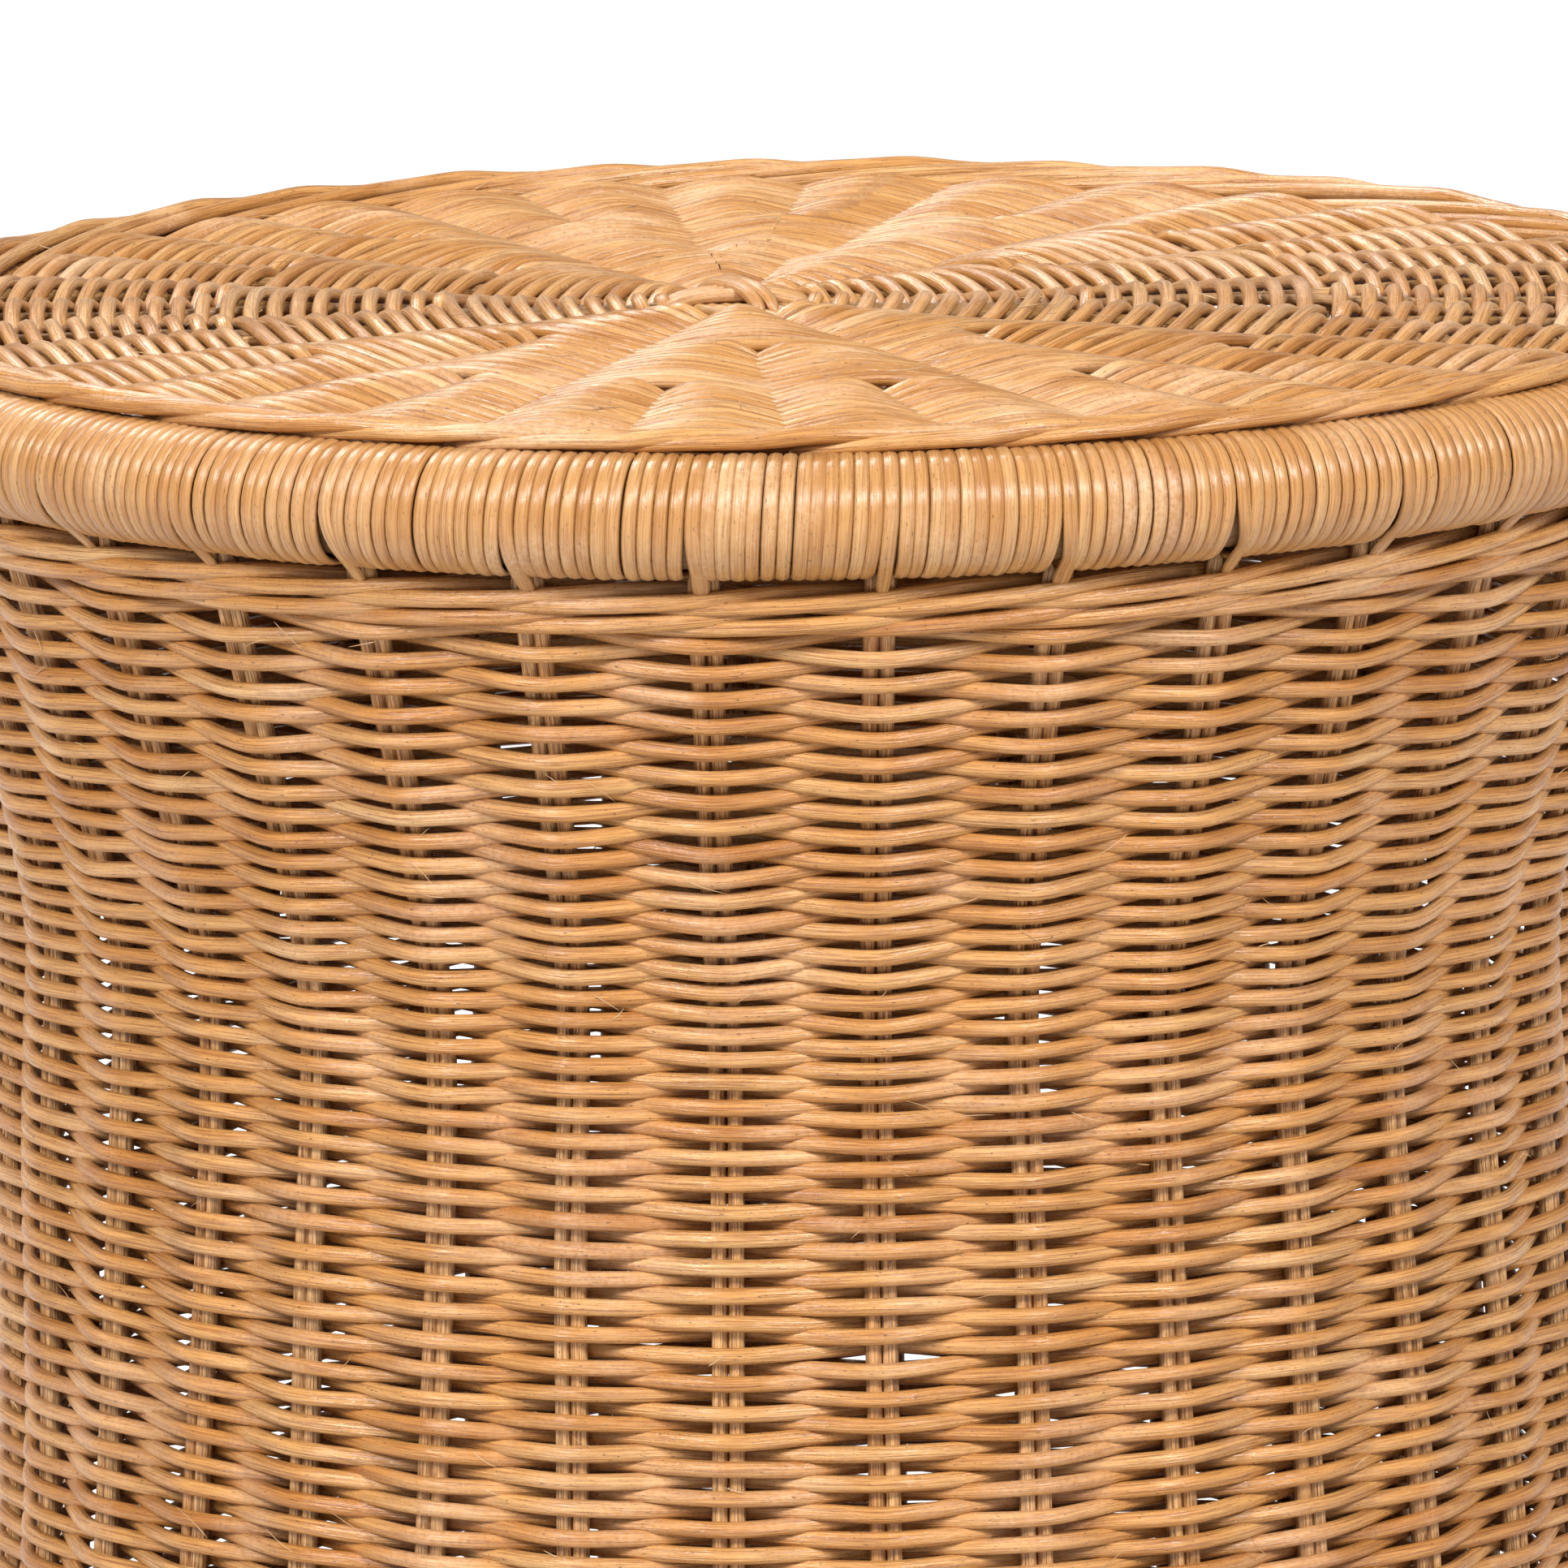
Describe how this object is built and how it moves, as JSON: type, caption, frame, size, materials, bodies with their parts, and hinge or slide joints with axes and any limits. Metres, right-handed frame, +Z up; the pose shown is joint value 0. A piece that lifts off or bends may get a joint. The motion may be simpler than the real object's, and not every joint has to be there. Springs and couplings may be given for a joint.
{
  "type": "laundry hamper with lid",
  "caption": "Round woven rattan laundry hamper with a waisted body, a cane-wrapped rim and a flat woven lift-off lid.",
  "frame": {"origin": "centre of the foot, on the floor", "axes": "+Z up along the hamper's own axis, -Y towards the front"},
  "size_m": [0.426, 0.426, 0.5172],
  "materials": {
    "rattan_weaver": "satin",
    "rattan_stake": "matte",
    "rattan_cane": "satin",
    "rattan_pole": "matte"
  },
  "bodies": {
    "hamper": {"stake_pair_01": "rattan_stake", "stake_pair_02": "rattan_stake", "stake_pair_03": "rattan_stake", "stake_pair_04": "rattan_stake", "stake_pair_05": "rattan_stake", "stake_pair_06": "rattan_stake", "stake_pair_07": "rattan_stake", "stake_pair_08": "rattan_stake", "stake_pair_09": "rattan_stake", "stake_pair_10": "rattan_stake", "stake_pair_11": "rattan_stake", "stake_pair_12": "rattan_stake", "stake_pair_13": "rattan_stake", "stake_pair_14": "rattan_stake", "stake_pair_15": "rattan_stake", "stake_pair_16": "rattan_stake", "stake_pair_17": "rattan_stake", "stake_pair_18": "rattan_stake", "stake_pair_19": "rattan_stake", "stake_pair_20": "rattan_stake", "stake_pair_21": "rattan_stake", "stake_pair_22": "rattan_stake", "stake_pair_23": "rattan_stake", "stake_pair_24": "rattan_stake", "stake_pair_25": "rattan_stake", "stake_pair_26": "rattan_stake", "stake_pair_27": "rattan_stake", "stake_pair_28": "rattan_stake", "stake_pair_29": "rattan_stake", "stake_pair_30": "rattan_stake", "stake_pair_31": "rattan_stake", "stake_pair_32": "rattan_stake", "stake_pair_33": "rattan_stake", "stake_pair_34": "rattan_stake", "side_weave": "rattan_weaver", "top_wale": "rattan_weaver", "rim_hoop": "rattan_pole", "rim_wrap": "rattan_cane", "foot_hoop": "rattan_pole", "base_weave": "rattan_weaver", "base_sticks": "rattan_stake"},
    "lid": {"lid_border": "rattan_weaver", "lid_weave": "rattan_weaver", "lid_rod_01": "rattan_stake", "lid_rod_02": "rattan_stake", "lid_rod_03": "rattan_stake", "lid_rod_04": "rattan_stake", "lid_rod_05": "rattan_stake", "lid_rod_06": "rattan_stake", "lid_rod_07": "rattan_stake", "lid_rod_08": "rattan_stake", "lid_rod_09": "rattan_stake", "lid_rod_10": "rattan_stake", "lid_rod_11": "rattan_stake", "lid_rod_12": "rattan_stake", "lid_rod_13": "rattan_stake", "lid_rod_14": "rattan_stake", "lid_rod_15": "rattan_stake", "lid_rod_16": "rattan_stake", "lid_rod_17": "rattan_stake"}
  },
  "joints": [
    {"name": "lid_lift", "type": "slide", "parent": "hamper", "child": "lid", "axis": [0, 0, 1], "range_m": [0, 0.12]}
  ]
}
